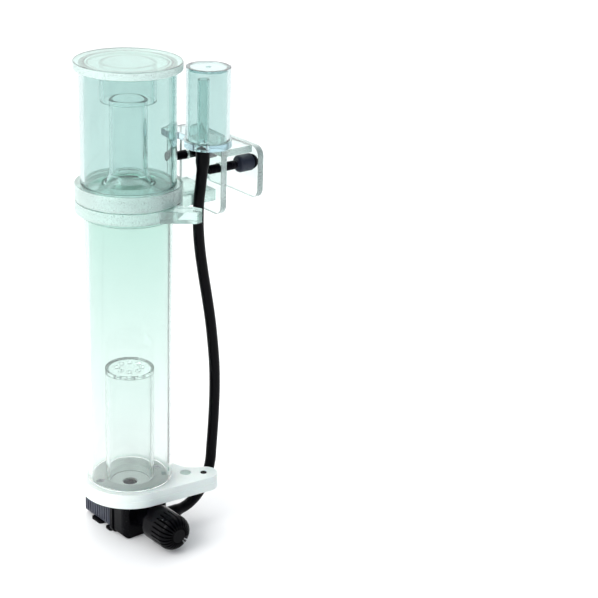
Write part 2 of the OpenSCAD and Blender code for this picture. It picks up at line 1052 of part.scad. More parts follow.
cage_wall = 1.8;
cage_edge = 6;
cage_collar = 8.6;

// The cage's outside in outline, or its hollow when inset by the wall
module cage_outline(inset) {
  r = strainer_r - inset;
  far = strainer_end - neck_end_x - inset;
  round_r = cage_edge - inset;
  translate([0, inset])
    square([r, far - inset - round_r]);
  square([r - round_r, far]);
  translate([r - round_r, far - round_r])
    intersection() {
      circle(r = round_r, $fn = 48);
      square(round_r);
    }
}

// Outline of the strainer's cage: a cup with a domed end and a round seat
module cage_profile() {
  difference() {
    cage_outline(0);
    translate([-1, 0])
      intersection() {
        translate([1, 0])
          cage_outline(cage_wall);
        translate([-1, cage_wall])
          square([strainer_r + 2, strainer_end]);
      }
    translate([-1, cage_wall])
      square([2, strainer_end - neck_end_x - 2 * cage_wall]);
    translate([-1, -1])
      square([cage_seat_r + loose_gap + 1, cage_wall + 2]);
  }
}

module strainer_cage() {
  slot_w = 0.9;
  hub_r = 4.2;
  len = strainer_end - neck_end_x;
  color(black)
    in_pump()
      translate([neck_end_x, 0, shaft_z])
        rotate([0, 90, 0])
          difference() {
            rotate_extrude()
              cage_profile();
            for (i = [0:strainer_slots - 1])
              rotate([0, 0, (i + 0.5) * 360 / strainer_slots])
                block([hub_r, -slot_w / 2, cage_collar], [strainer_r + 1, slot_w / 2, len + 1]);
          }
}

// ---------------------------------------------------------------- nodes

base_plate_lower();
base_plate_upper();
base_screws();
tip_screw();
body_tube();
bubble_tube();
diffuser_disc();
body_flange();
flange_seal();
locating_pin();
cup_floor();
cup_neck();
cup_tube();
lid_disc();
lid_skirt();
silencer_shelf();
silencer_tube();
silencer_cap();
silencer_standpipe();
silencer_nipple();
air_hose();
hanger_inner_plate();
hanger_bridge();
hanger_outer_plate();
clamp_screw_front();
clamp_screw_rear();
clamp_tip_front();
clamp_tip_rear();
bumpers();
bumper_screws();
pump_motor_housing();
pump_back_cover();
pump_front_cover();
pump_seal();
pump_feet();
stator_core();
stator_coil();
cable_gland();
rotor_magnet();
needle_wheel();
rotor_shaft();
rear_bush();
front_bush();
inlet_neck();
air_inlet_nipple();
strainer_cage();
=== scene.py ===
"""Hang-on protein skimmer: clear acrylic body and cup, white base, black pump, air hose and glass clamp.

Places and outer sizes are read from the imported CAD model, and walls, holes and rounding are named
here. Lengths in this script are millimetres, and each mesh is scaled to metres when it is made. The
softboxes are the exception: they are placed in metres.
"""

import math

import bmesh
import bpy
from mathutils import Matrix, Vector


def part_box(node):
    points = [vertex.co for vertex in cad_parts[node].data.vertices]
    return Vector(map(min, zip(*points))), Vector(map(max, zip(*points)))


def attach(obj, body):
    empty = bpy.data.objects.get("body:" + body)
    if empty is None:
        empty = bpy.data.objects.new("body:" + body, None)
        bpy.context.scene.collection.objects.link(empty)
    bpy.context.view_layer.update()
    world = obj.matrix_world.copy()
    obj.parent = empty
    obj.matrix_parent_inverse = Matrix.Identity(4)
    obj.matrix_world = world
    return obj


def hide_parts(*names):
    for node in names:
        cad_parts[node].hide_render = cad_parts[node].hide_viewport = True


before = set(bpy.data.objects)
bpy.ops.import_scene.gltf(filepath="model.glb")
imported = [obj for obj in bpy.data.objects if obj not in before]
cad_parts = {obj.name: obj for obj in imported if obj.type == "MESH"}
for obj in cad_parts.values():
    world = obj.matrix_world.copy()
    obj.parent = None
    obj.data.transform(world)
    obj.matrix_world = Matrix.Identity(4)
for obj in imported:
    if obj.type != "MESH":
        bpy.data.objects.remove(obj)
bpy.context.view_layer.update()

MM = 0.001
ROUND_STEPS = 144
HANGER_TURN = math.radians(35)


def span(node):
    """Lowest and highest corner of a CAD node, in millimetres."""
    low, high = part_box(node)
    return low / MM, high / MM


# ---------------------------------------------------------------- camera

def make_camera():
    """Stands in front of the object and looks down on it, as a table-top photographer would."""
    place = Vector((15.6, -902, 502.9)) * MM
    yaw, pitch, roll = math.radians(5.17), math.radians(21.6), math.radians(1.98)
    ahead = Vector((math.sin(yaw) * math.cos(pitch), math.cos(yaw) * math.cos(pitch), -math.sin(pitch)))
    right = Vector((math.cos(yaw), -math.sin(yaw), 0))
    up = right.cross(ahead)
    rolled_right = right * math.cos(roll) + up * math.sin(roll)
    rolled_up = up * math.cos(roll) - right * math.sin(roll)
    data = bpy.data.cameras.new("camera")
    data.sensor_width = 36
    data.lens = 101.9
    camera = bpy.data.objects.new("camera", data)
    turn = Matrix((rolled_right, rolled_up, -ahead)).transposed()
    camera.matrix_world = Matrix.Translation(place) @ turn.to_4x4()
    bpy.context.scene.collection.objects.link(camera)
    bpy.context.scene.camera = camera


make_camera()

# ---------------------------------------------------------------- materials


def surface(name, color, roughness, spread=0.05, grain=900.0, bump=0.05, tint=0.06, absorb=None, **sockets):
    """A Principled material whose colour, roughness and relief vary with two scales of noise."""
    material = bpy.data.materials.new(name)
    material.use_nodes = True
    nodes, links = material.node_tree.nodes, material.node_tree.links
    shader = nodes["Principled BSDF"]
    for socket, value in sockets.items():
        shader.inputs[socket.replace("_", " ")].default_value = value

    place = nodes.new("ShaderNodeTexCoord")
    broad = nodes.new("ShaderNodeTexNoise")
    broad.inputs["Scale"].default_value = grain / 12
    broad.inputs["Detail"].default_value = 3
    fine = nodes.new("ShaderNodeTexNoise")
    fine.inputs["Scale"].default_value = grain
    fine.inputs["Detail"].default_value = 5
    links.new(place.outputs["Object"], broad.inputs["Vector"])
    links.new(place.outputs["Object"], fine.inputs["Vector"])

    shade = nodes.new("ShaderNodeValToRGB")
    low, high = shade.color_ramp.elements
    low.position, high.position = 0.3, 0.7
    low.color = (*[c * (1 - tint) for c in color], 1)
    high.color = (*[min(1, c * (1 + tint / 2)) for c in color], 1)
    links.new(broad.outputs["Fac"], shade.inputs["Fac"])
    links.new(shade.outputs["Color"], shader.inputs["Base Color"])

    polish = nodes.new("ShaderNodeMapRange")
    polish.inputs["From Min"].default_value = 0.3
    polish.inputs["From Max"].default_value = 0.7
    polish.inputs["To Min"].default_value = max(0, roughness - spread)
    polish.inputs["To Max"].default_value = roughness + spread
    links.new(fine.outputs["Fac"], polish.inputs["Value"])
    links.new(polish.outputs["Result"], shader.inputs["Roughness"])

    relief = nodes.new("ShaderNodeBump")
    relief.inputs["Strength"].default_value = bump
    relief.inputs["Distance"].default_value = 0.1 * MM
    links.new(fine.outputs["Fac"], relief.inputs["Height"])
    links.new(relief.outputs["Normal"], shader.inputs["Normal"])

    if absorb:
        volume = nodes.new("ShaderNodeVolumeAbsorption")
        volume.inputs["Color"].default_value = (*absorb[0], 1)
        volume.inputs["Density"].default_value = absorb[1]
        links.new(volume.outputs["Volume"], nodes["Material Output"].inputs["Volume"])
    return material


def paint_height_shade(material, low_z, low_color, high_z, high_color):
    """Paints a shade gradient into a material's colour: one tint at one height and another at a second
    height, in millimetres.
    """
    nodes, links = material.node_tree.nodes, material.node_tree.links
    apart = nodes.new("ShaderNodeSeparateXYZ")
    links.new(nodes["Texture Coordinate"].outputs["Object"], apart.inputs["Vector"])
    climb = nodes.new("ShaderNodeMapRange")
    climb.inputs["From Min"].default_value = low_z * MM
    climb.inputs["From Max"].default_value = high_z * MM
    links.new(apart.outputs["Z"], climb.inputs["Value"])
    shade = nodes["Color Ramp"]
    low, high = shade.color_ramp.elements
    low.position, high.position = 0, 1
    low.color, high.color = (*low_color, 1), (*high_color, 1)
    links.new(climb.outputs["Result"], shade.inputs["Fac"])
    return material


ACRYLIC = dict(Transmission_Weight=1.0, IOR=1.49)
MILKY = dict(Transmission_Weight=0.78, IOR=1.49)
SAWN = dict(Transmission_Weight=0.55, IOR=1.49)
DEEP_BLACK = dict(Specular_IOR_Level=0.3, IOR=1.22)
MINT = (0.25, 0.82, 0.7)
STEEL_BLUE = (0.35, 0.6, 0.72)

# white_bright glows faintly. It stands in for the light that the photo's room sends into the base.
MATERIALS = {
    "clear_acrylic": surface(
        "clear_acrylic", (0.945, 0.965, 0.96), 0.012, 0.01, 500, 0.004, 0.01, (MINT, 2), **ACRYLIC),
    # The clear body carries painted shade: darker mint towards the top and paler towards the foot, standing
    # in for how the room lights the tube.
    "body_acrylic": paint_height_shade(surface(
        "body_acrylic", (0.9, 0.98, 0.95), 0.014, 0.01, 500, 0.004, 0.01, (MINT, 1), **ACRYLIC),
        25, (0.9, 0.92, 0.91), 195, (0.635, 0.785, 0.735)),
    "cup_acrylic": surface(
        "cup_acrylic", (0.655, 0.79, 0.765), 0.012, 0.01, 500, 0.004, 0.02, (STEEL_BLUE, 8), **ACRYLIC),
    "neck_acrylic": surface(
        "neck_acrylic", (0.93, 0.96, 0.955), 0.012, 0.01, 500, 0.004, 0.02, (STEEL_BLUE, 8), **ACRYLIC),
    "thick_acrylic": surface(
        "thick_acrylic", (0.75, 0.92, 0.875), 0.07, 0.03, 500, 0.01, 0.02, (MINT, 3), **MILKY),
    "lid_acrylic": surface(
        "lid_acrylic", (0.46, 0.67, 0.61), 0.08, 0.03, 500, 0.01, 0.02, (MINT, 3), **ACRYLIC),
    "sheet_acrylic": surface(
        "sheet_acrylic", (0.8, 0.88, 0.86), 0.03, 0.02, 500, 0.01, 0.02, (MINT, 4), **ACRYLIC),
    "sawn_edge": surface(
        "sawn_edge", (0.77, 0.93, 0.885), 0.3, 0.08, 2600, 0.12, 0.03, None, **SAWN),
    "blue_acrylic": surface(
        "blue_acrylic", (0.69, 0.81, 0.79), 0.012, 0.01, 500, 0.004, 0.02, (STEEL_BLUE, 20), **ACRYLIC),
    "white_acrylic": surface(
        "white_acrylic", (0.8, 0.885, 0.855), 0.32, 0.06, 1800, 0.05, 0.02, None,
        Subsurface_Weight=0.1, Subsurface_Scale=2 * MM, Coat_Weight=0.1),
    "white_bright": surface(
        "white_bright", (0.93, 0.98, 0.96), 0.32, 0.06, 1800, 0.05, 0.01, None,
        Emission_Color=(0.9, 1, 0.96, 1), Emission_Strength=0.22),
    "black_plastic": surface(
        "black_plastic", (0.002, 0.002, 0.003), 0.2, 0.05, 2500, 0.05, 0.2, **DEEP_BLACK),
    "slate_plastic": surface(
        "slate_plastic", (0.03, 0.036, 0.056), 0.4, 0.06, 3000, 0.12, 0.15, Specular_IOR_Level=0.3),
    "black_nylon": surface("black_nylon", (0.003, 0.003, 0.006), 0.3, 0.06, 2500, 0.08, 0.2, **DEEP_BLACK),
    "black_rubber": surface("black_rubber", (0.004, 0.004, 0.005), 0.6, 0.08, 3000, 0.2, 0.2, **DEEP_BLACK),
    "grey_rubber": surface(
        "grey_rubber", (0.02, 0.026, 0.045), 0.42, 0.08, 3000, 0.15, 0.15, Specular_IOR_Level=0.3),
    "silicone": surface("silicone", (0.75, 0.8, 0.78), 0.4, 0.06, 2500, 0.1, 0.05),
    "black_hose": surface("black_hose", (0.001, 0.001, 0.002), 0.34, 0.07, 1600, 0.1, 0.2, **DEEP_BLACK),
    "screw_steel": surface("screw_steel", (0.32, 0.34, 0.36), 0.3, 0.08, 2500, 0.1, 0.1, Metallic=1.0),
    "core_steel": surface("core_steel", (0.3, 0.31, 0.33), 0.45, 0.1, 3000, 0.2, 0.2, Metallic=1.0),
    "copper_coil": surface("copper_coil", (0.6, 0.26, 0.12), 0.35, 0.08, 3000, 0.3, 0.15, Metallic=1.0),
    "magnet": surface("magnet", (0.05, 0.05, 0.055), 0.45, 0.08, 2500, 0.15, 0.2, Metallic=0.7),
    "white_plastic": surface("white_plastic", (0.82, 0.83, 0.82), 0.4, 0.06, 2500, 0.08, 0.04),
    "ceramic": surface("ceramic", (0.85, 0.85, 0.82), 0.2, 0.04, 2500, 0.03, 0.03),
}

# ---------------------------------------------------------------- mesh helpers


def circle(x, y, r, steps=96):
    return arc(x, y, r, 0, 360, steps)[:-1]


def arc(x, y, r, start, end, steps):
    """Points on an arc about (x, y), from one angle to another in degrees."""
    angles = [math.radians(start + (end - start) * i / steps) for i in range(steps + 1)]
    return [(x + r * math.cos(a), y + r * math.sin(a)) for a in angles]


def rounded(corners, radius, steps=4, support=0.15):
    """A closed (r, z) profile with round corners, and points beside each that keep the flats flat."""
    profile = []
    count = len(corners)
    for i, corner in enumerate(corners):
        here = Vector(corner)
        back, ahead = Vector(corners[i - 1]) - here, Vector(corners[(i + 1) % count]) - here
        if here.x < 1e-6:
            profile.append(here)
            continue
        reach_back, reach_ahead = back.length, ahead.length
        back.normalize()
        ahead.normalize()
        half = back.angle(ahead) / 2
        cut = min(radius / math.tan(half), 0.4 * reach_back, 0.4 * reach_ahead)
        bend = cut * math.tan(half)
        middle = here + (back + ahead).normalized() * (bend / math.sin(half))
        first, last = here + back * cut - middle, here + ahead * cut - middle
        sweep = first.angle_signed(last)
        if cut + support < 0.5 * reach_back:
            profile.append(here + back * (cut + support))
        for k in range(steps + 1):
            turn = Matrix.Rotation(-sweep * k / steps, 2)
            profile.append(middle + turn @ first)
        if cut + support < 0.5 * reach_ahead:
            profile.append(here + ahead * (cut + support))
    return profile


def lathe(profile, x=0.0, y=0.0, steps=ROUND_STEPS):
    """Turns a closed (r, z) profile about a vertical axis at (x, y), as a bmesh in millimetres."""
    shape = bmesh.new()
    rings = []
    for r, z in profile:
        if r < 1e-6:
            rings.append([shape.verts.new((x, y, z))])
            continue
        turns = [math.tau * k / steps for k in range(steps)]
        rings.append([shape.verts.new((x + r * math.cos(a), y + r * math.sin(a), z)) for a in turns])
    for i, ring in enumerate(rings):
        other = rings[(i + 1) % len(rings)]
        if len(ring) == 1 and len(other) == 1:
            continue
        for k in range(steps):
            j = (k + 1) % steps
            if len(ring) == 1:
                shape.faces.new((ring[0], other[j], other[k]))
            elif len(other) == 1:
                shape.faces.new((ring[k], ring[j], other[0]))
            else:
                shape.faces.new((ring[k], ring[j], other[j], other[k]))
    return shape


def finish_piece(name, shape, body, slot, nodes, material=None, edge=None, turn=None, sharp=35):
    """Makes the object: outward normals, materials, its body, and hides the CAD nodes it stands for; slot
    names its material unless material is given.

    edge is a (material, test) pair: faces whose centre and normal pass the test take that material."""
    bmesh.ops.recalc_face_normals(shape, faces=shape.faces)
    if edge:
        for face in shape.faces:
            if edge[1](face.calc_center_median(), face.normal):
                face.material_index = 1
    for face in shape.faces:
        face.smooth = True
    mesh = bpy.data.meshes.new(name)
    shape.to_mesh(mesh)
    shape.free()
    mesh.transform((turn or Matrix.Identity(4)))
    mesh.transform(Matrix.Scale(MM, 4))
    mesh.set_sharp_from_angle(angle=math.radians(sharp))
    mesh.materials.append(MATERIALS[material or slot])
    if edge:
        mesh.materials.append(MATERIALS[edge[0]])
    piece = bpy.data.objects.new(name, mesh)
    bpy.context.scene.collection.objects.link(piece)
    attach(piece, body)
    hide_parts(*nodes)
    return piece


def flat_normals(piece):
    """Lets the large flat faces of a bevelled piece rule its shading."""
    modifier = piece.modifiers.new("normals", "WEIGHTED_NORMAL")
    modifier.keep_sharp = True


def plate(loops, low, high, edge_round, body, name, slot, nodes, material=None, edge=None, turn=None):
    """A flat sheet with a rounded edge, from closed outlines: the first is its outside, the rest holes."""
    curve = bpy.data.curves.new(name, "CURVE")
    curve.dimensions = "2D"
    curve.fill_mode = "BOTH"
    for index, loop in enumerate(loops):
        if (area_of(loop) > 0) == (index > 0):
            loop = loop[::-1]
        spline = curve.splines.new("POLY")
        spline.points.add(len(loop) - 1)
        for point, (x, y) in zip(spline.points, loop):
            point.co = (x, y, 0, 1)
        spline.use_cyclic_u = True
    curve.bevel_depth = edge_round
    curve.bevel_resolution = 2
    curve.offset = -edge_round
    curve.extrude = (high - low) / 2 - edge_round
    holder = bpy.data.objects.new(name, curve)
    bpy.context.scene.collection.objects.link(holder)
    mesh = bpy.data.meshes.new_from_object(holder.evaluated_get(bpy.context.evaluated_depsgraph_get()))
    bpy.data.objects.remove(holder)
    bpy.data.curves.remove(curve)
    shape = bmesh.new()
    shape.from_mesh(mesh)
    bpy.data.meshes.remove(mesh)
    bmesh.ops.remove_doubles(shape, verts=shape.verts, dist=0.004)
    bmesh.ops.translate(shape, verts=shape.verts, vec=(0, 0, (low + high) / 2))
    piece = finish_piece(name, shape, body, slot, nodes, material, edge, turn)
    flat_normals(piece)
    return piece


def area_of(loop):
    return sum(a[0] * b[1] - b[0] * a[1] for a, b in zip(loop, loop[1:] + loop[:1])) / 2


def keep_node(name, slot, bevel=0.0, material=None):
    """Shows a CAD node with a better material and, where it has hard edges, a small bevel."""
    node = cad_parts[name]
    for holder in node.material_slots:
        holder.link = "OBJECT"
        holder.material = MATERIALS[material or slot]
    if bevel:
        weld = node.modifiers.new("weld", "WELD")
        weld.merge_threshold = 0.002 * MM
        edges = node.modifiers.new("bevel", "BEVEL")
        edges.width = bevel * MM
        edges.segments = 2
        edges.limit_method = "ANGLE"
        edges.angle_limit = math.radians(38)
        edges.use_clamp_overlap = True
        flat_normals(node)


# ---------------------------------------------------------------- air hose

HOSE_ROUTE = [
    (41, 1.5, 233.8), (41, 1.5, 228), (40.8, 1.5, 221.5), (40, 2, 212), (39.2, 3, 203.5),
    (38.9, 4.5, 194), (39.2, 6.5, 183), (40.3, 8.5, 170.5), (42.2, 10.5, 156.5), (44.4, 12.3, 142.5),
    (46.6, 14.1, 127.5), (48.4, 15.8, 111.5), (49.7, 17.2, 95.5), (50.1, 18.2, 80), (49.9, 18.7, 66),
    (49.4, 18.8, 53), (48.7, 18.3, 41), (48.2, 17.3, 33.2), (46.6, 14.5, 26), (43.7, 10, 19.8),
    (39.5, 4.5, 15), (33.9, -1.3, 12), (27.3, -6.8, 11), (23.7, -9.3, 11), (20.1, -12, 11),
]
HOSE_D = 6.4
HOSE_END_D = 7.9


def smooth_line(points, steps):
    """A Catmull-Rom line through the points."""
    line = []
    last = len(points) - 1
    for i in range(last):
        a, b, c, d = (Vector(points[max(0, min(last, i + k))]) for k in (-1, 0, 1, 2))
        for k in range(steps):
            t = k / steps
            line.append(0.5 * (2 * b + (c - a) * t + (2 * a - 5 * b + 4 * c - d) * t ** 2
                               + (3 * b - a - 3 * c + d) * t ** 3))
    line.append(Vector(points[-1]))
    return line


def ease(t):
    t = max(0.0, min(1.0, t))
    return t * t * (3 - 2 * t)


def swept_tube(line, radius_at, sides=40):
    """A closed tube along a line, with a radius given at each point and softly rounded ends."""
    shape = bmesh.new()
    rings = []
    side = Vector((0, 1, 0))
    for i, point in enumerate(line):
        along = (line[min(i + 1, len(line) - 1)] - line[max(i - 1, 0)]).normalized()
        side = (side - along * side.dot(along)).normalized()
        other = along.cross(side)
        r = radius_at(i)
        turns = [math.tau * k / sides for k in range(sides)]
        rings.append([shape.verts.new(point + r * (math.cos(a) * side + math.sin(a) * other)) for a in turns])
    for ring, after in zip(rings, rings[1:]):
        for k in range(sides):
            shape.faces.new((ring[k], ring[(k + 1) % sides], after[(k + 1) % sides], after[k]))
    shape.faces.new(rings[0][::-1])
    shape.faces.new(rings[-1])
    return shape


def air_hose():
    """The hose swells where it is pushed over a nipple, and its two ends have a rounded lip."""
    line = smooth_line(HOSE_ROUTE, 6)
    start, end = line[0], line[-1]
    nipple_length, swell_length = 8, 5
    lip_depth, lip_length = 0.5, 0.9

    def radius_at(i):
        reach = min((line[i] - start).length, (line[i] - end).length)
        grip = 1 - ease((reach - nipple_length) / swell_length)
        lip = -lip_depth * (1 - min(1, reach / lip_length))
        return HOSE_D / 2 + (HOSE_END_D - HOSE_D) / 2 * grip + lip

    piece = finish_piece("air_hose_flexible", swept_tube(line, radius_at), "root", "black_hose", ["air_hose"])


air_hose()

# ---------------------------------------------------------------- clear body

SEAM = 0.04
CUP_WALL = 2.4


def is_rim(radius):
    """A test for the upright faces at a given radius."""
    return lambda centre, normal: abs(normal.z) < 0.6 and Vector((centre.x, centre.y)).length > radius - 0.35


def ring_shape(outer, inner, low, high, edge_round=0.3, x=0.0, y=0.0):
    return lathe(rounded([(inner, low), (outer, low), (outer, high), (inner, high)], edge_round), x, y)


def body_tube():
    high = span("body_tube")[1]
    plate_top = span("base_plate_upper")[1].z
    wall = 2.5
    shape = ring_shape(high.x, high.x - wall, plate_top + SEAM, high.z, 0.2)
    finish_piece("body_tube_clear", shape, "root", "clear_acrylic", ["body_tube"], "body_acrylic")


def bubble_tube():
    low, high = span("bubble_tube")
    wall = 2
    shape = ring_shape(high.x, high.x - wall, low.z + SEAM, high.z - SEAM, 0.2)
    finish_piece("bubble_tube_clear", shape, "root", "clear_acrylic", ["bubble_tube"])


def diffuser_disc():
    low, high = span("diffuser_disc")
    hole_count, hole_ring, hole_r = 8, 7, 1.5
    turns = [math.tau * i / hole_count for i in range(hole_count)]
    holes = [circle(hole_ring * math.cos(a), hole_ring * math.sin(a), hole_r, 40) for a in turns]
    plate([circle(0, 0, high.x, 128), *holes], low.z, high.z, 0.25, "root", "diffuser_disc_drilled",
          "clear_acrylic", ["diffuser_disc"])


def body_flange():
    """The collar ring with its tab in front of the hose and the arm that carries the hanger."""
    low, high = span("body_flange")
    collar_r, bore_r, lip_r = 30, 25 + SEAM, 26.6
    collar_low = high.z - 7
    tab_low, tab_high, tab_end, arm_w, arm_end = -24.6, -13.6, 40.4, 14, 50 - SEAM
    tab = [(tab_end - 2.8, tab_low), (tab_end, -22), (tab_end, -18), (34, tab_high)]
    arm_half = math.degrees(math.asin(arm_w / collar_r))
    hanger = math.degrees(HANGER_TURN)

    def from_arm(s, across):
        c, n = math.cos(HANGER_TURN), math.sin(HANGER_TURN)
        return (s * c - across * n, s * n + across * c)

    outline = (
        arc(0, 0, collar_r, hanger + arm_half, 360 + math.degrees(math.asin(tab_low / collar_r)), 100)
        + tab
        + arc(0, 0, collar_r, math.degrees(math.asin(tab_high / collar_r)), hanger - arm_half, 24)
        + [from_arm(arm_end, -arm_w), from_arm(arm_end, arm_w)]
    )
    plate(
        [outline, circle(0, 0, bore_r, ROUND_STEPS)], collar_low, high.z, 0.45, "root", "body_flange_collar",
        "clear_acrylic", ["body_flange"], material="thick_acrylic",
        edge=("sawn_edge", lambda centre, normal: abs(normal.z) < 0.3
              and collar_r - 0.6 < centre.xy.length < collar_r + 0.2),
    )
    lip = ring_shape(lip_r, bore_r, low.z, collar_low - SEAM, 0.4)
    finish_piece("body_flange_lip", lip, "root", "clear_acrylic", ["body_flange"], "thick_acrylic")


def flange_seal():
    low, high = span("flange_seal")
    middle, section = (low.z + high.z) / 2, (high.z - low.z) / 2
    turns = [math.tau * k / 16 for k in range(16)]
    profile = [(high.x - section + section * math.cos(a), middle + section * math.sin(a)) for a in turns]
    finish_piece("flange_seal_ring", lathe(profile), "root", "silicone", ["flange_seal"])


# ---------------------------------------------------------------- cup and lid


def cup_neck():
    low, high = span("cup_neck")
    floor_top = span("cup_floor")[1].z
    cup_z = span("cup_floor")[0].z
    neck_r, wall, throat_r = 10.7, 2, 14
    spigot_r, cone_low, flare_z = high.x - 0.6, cup_z + 1.2, floor_top + 1.8
    flare_r = neck_r + 2.1
    outside = [(spigot_r, low.z), (spigot_r, cone_low), (throat_r, floor_top), (flare_r, flare_z),
               (neck_r + 0.5, flare_z + 3.2), (neck_r, flare_z + 7), (neck_r, high.z)]
    inside = [(neck_r - wall, high.z), (neck_r - wall, flare_z + 7), (neck_r - wall + 0.5, flare_z + 3.2),
              (flare_r - wall, flare_z), (throat_r - wall, floor_top - 0.6),
              (spigot_r - wall, cone_low - 1.8), (spigot_r - wall, low.z)]
    shape = lathe(rounded([(r - SEAM, z) for r, z in outside] + inside, 1.6, 6))
    finish_piece("cup_neck_funnel", shape, "cup", "clear_acrylic", ["cup_neck"], "neck_acrylic")


def cup_floor():
    low, high = span("cup_floor")
    seat_r, throat_r, cone_low = 22.1 + SEAM, 14.2, low.z + 1.2
    corners = [(seat_r, low.z + SEAM), (high.x, low.z + SEAM), (high.x, high.z), (throat_r, high.z),
               (seat_r, cone_low)]
    finish_piece("cup_floor_ring", lathe(rounded(corners, 0.5)), "cup", "clear_acrylic", ["cup_floor"],
                 "thick_acrylic", edge=("sawn_edge", is_rim(high.x)))


def cup_tube():
    high = span("cup_tube")[1]
    floor_top = span("cup_floor")[1].z
    shape = ring_shape(high.x, high.x - CUP_WALL, floor_top + SEAM, high.z, 0.25)
    finish_piece("cup_tube_clear", shape, "cup", "clear_acrylic", ["cup_tube"], "cup_acrylic")


def lid():
    low, high = span("lid_disc")
    thick, lip_wall, lip_gap = 4.5, 2, 0.4
    under = high.z - thick
    lip_r = span("cup_tube")[1].x - CUP_WALL - lip_gap
    bore_r = lip_r - lip_wall
    corners = [(0, under), (bore_r, under), (bore_r, low.z), (lip_r, low.z), (lip_r, under),
               (high.x, under), (high.x, high.z), (0, high.z)]
    finish_piece("lid_disc_turned", lathe(rounded(corners, 0.55)), "lid", "clear_acrylic", ["lid_disc"],
                 "lid_acrylic", edge=("sawn_edge", is_rim(high.x)))
    low, high = span("lid_skirt")
    shape = ring_shape(high.x, high.x - lip_wall, low.z, under - SEAM, 0.3)
    finish_piece("lid_skirt_ring", shape, "lid", "clear_acrylic", ["lid_skirt"], "neck_acrylic")


# ---------------------------------------------------------------- silencer


def silencer():
    tube_wall, standpipe_wall, vent_r = 2, 1.1, 1.25
    low, high = span("silencer_tube")
    x, y, r = (low.x + high.x) / 2, (low.y + high.y) / 2, (high.x - low.x) / 2
    bore_r = r - tube_wall
    shape = ring_shape(r, bore_r, low.z + SEAM, high.z, 0.25, x, y)
    finish_piece("silencer_tube_blue", shape, "root", "blue_acrylic", ["silencer_tube"])
    low, high = span("silencer_cap")
    shape = ring_shape(bore_r - SEAM, vent_r, low.z, high.z, 0.3, x, y)
    finish_piece("silencer_cap_disc", shape, "root", "blue_acrylic", ["silencer_cap"])
    low, high = span("silencer_standpipe")
    x, y, r = (low.x + high.x) / 2, (low.y + high.y) / 2, (high.x - low.x) / 2
    shelf_top = span("silencer_shelf")[1].z
    shape = ring_shape(r, r - standpipe_wall, shelf_top + SEAM, high.z, 0.2, x, y)
    finish_piece("silencer_standpipe_tube", shape, "root", "blue_acrylic", ["silencer_standpipe"])


body_tube()
bubble_tube()
diffuser_disc()
body_flange()
flange_seal()
cup_neck()
cup_floor()
cup_tube()
lid()
silencer()

# ---------------------------------------------------------------- base

PLATE_R = 28.75
TIP_R = 7.6
TIP_X = 44.4
HOLLOW_R = 15
SCREW_RING = 18.7
SCREW_ANGLES = (27, 207)


def base_outline():
    """A round end, a straight front, a round tip and a hollow at the back."""
    lean = math.degrees(math.asin((PLATE_R - TIP_R) / TIP_X))
    x = ((PLATE_R + HOLLOW_R) ** 2 - (TIP_R + HOLLOW_R) ** 2 + TIP_X ** 2) / (2 * TIP_X)
    y = math.sqrt((PLATE_R + HOLLOW_R) ** 2 - x ** 2)
    to_tip = math.degrees(math.atan2(y, x - TIP_X))
    to_main = math.degrees(math.atan2(y, x))
    return (
        arc(0, 0, PLATE_R, to_main, 270 + lean, 96)
        + arc(TIP_X, 0, TIP_R, lean - 90, to_tip, 32)
        + arc(x, y, HOLLOW_R, to_tip + 180, to_main + 180, 24)[1:-1]
    )


def base_plates():
    """Two white plates: the upper one is open to the bubble tube, the water outlet and the screws."""
    outlet_x, outlet_r = 32.8, 3.25
    tip_screw_x, tip_screw_r, screw_r = 43.6, 1.95, 2.25
    bore_r = 4.25
    low, high = span("base_plate_lower")
    plate([base_outline(), circle(0, 0, bore_r)], low.z, high.z - 0.02, 0.3, "root", "base_plate_lower_white",
          "white_acrylic", ["base_plate_lower"], "white_bright",
          ("white_acrylic", lambda centre, normal: normal.z < 0.9))
    low, high = span("base_plate_upper")
    bubble_r = span("bubble_tube")[1].x
    slot_start, slot_end, slot_half = 18.6, 21.8, 2.2
    slot = [(slot_start, -slot_half), (slot_end, -slot_half), (slot_end, slot_half), (slot_start, slot_half)]
    holes = [circle(0, 0, bubble_r + 0.05, 128), circle(outlet_x, 0, outlet_r), slot,
             circle(tip_screw_x, 0, tip_screw_r, 48)]
    for angle in SCREW_ANGLES:
        a = math.radians(angle)
        holes.append(circle(SCREW_RING * math.cos(a), SCREW_RING * math.sin(a), screw_r, 48))
    plate([base_outline(), *holes], low.z, high.z, 0.3, "root", "base_plate_upper_white",
          "white_acrylic", ["base_plate_upper"], "white_acrylic",
          ("white_bright", lambda centre, normal: abs(normal.z) < 0.9 and centre.xy.length < bubble_r + 0.2))


base_plates()

# ---------------------------------------------------------------- hanger and clamp

INNER_S, OUTER_S, SHEET = 50, 72.5, 4
SCREW_R, SCREW_Y = 2.6, 16
THREAD_PITCH = 0.8
IN_HANGER = Matrix.Rotation(HANGER_TURN, 4, "Z")


def upright(s):
    """Stands a flat sheet up across the hanger's reach, s from the body's axis."""
    stand = Matrix(((0, 0, 1, s), (1, 0, 0, 0), (0, 1, 0, 0), (0, 0, 0, 1)))
    return IN_HANGER @ stand


def sheet_outline(y0, y1, z0, z1, low_round, high_round):
    """A rectangle in (y, z) with its own corner radius at the foot and at the top."""
    return (
        arc(y0 + low_round, z0 + low_round, low_round, 180, 270, 12)
        + arc(y1 - low_round, z0 + low_round, low_round, 270, 360, 12)
        + arc(y1 - high_round, z1 - high_round, high_round, 0, 90, 12)
        + arc(y0 + high_round, z1 - high_round, high_round, 90, 180, 12)
    )


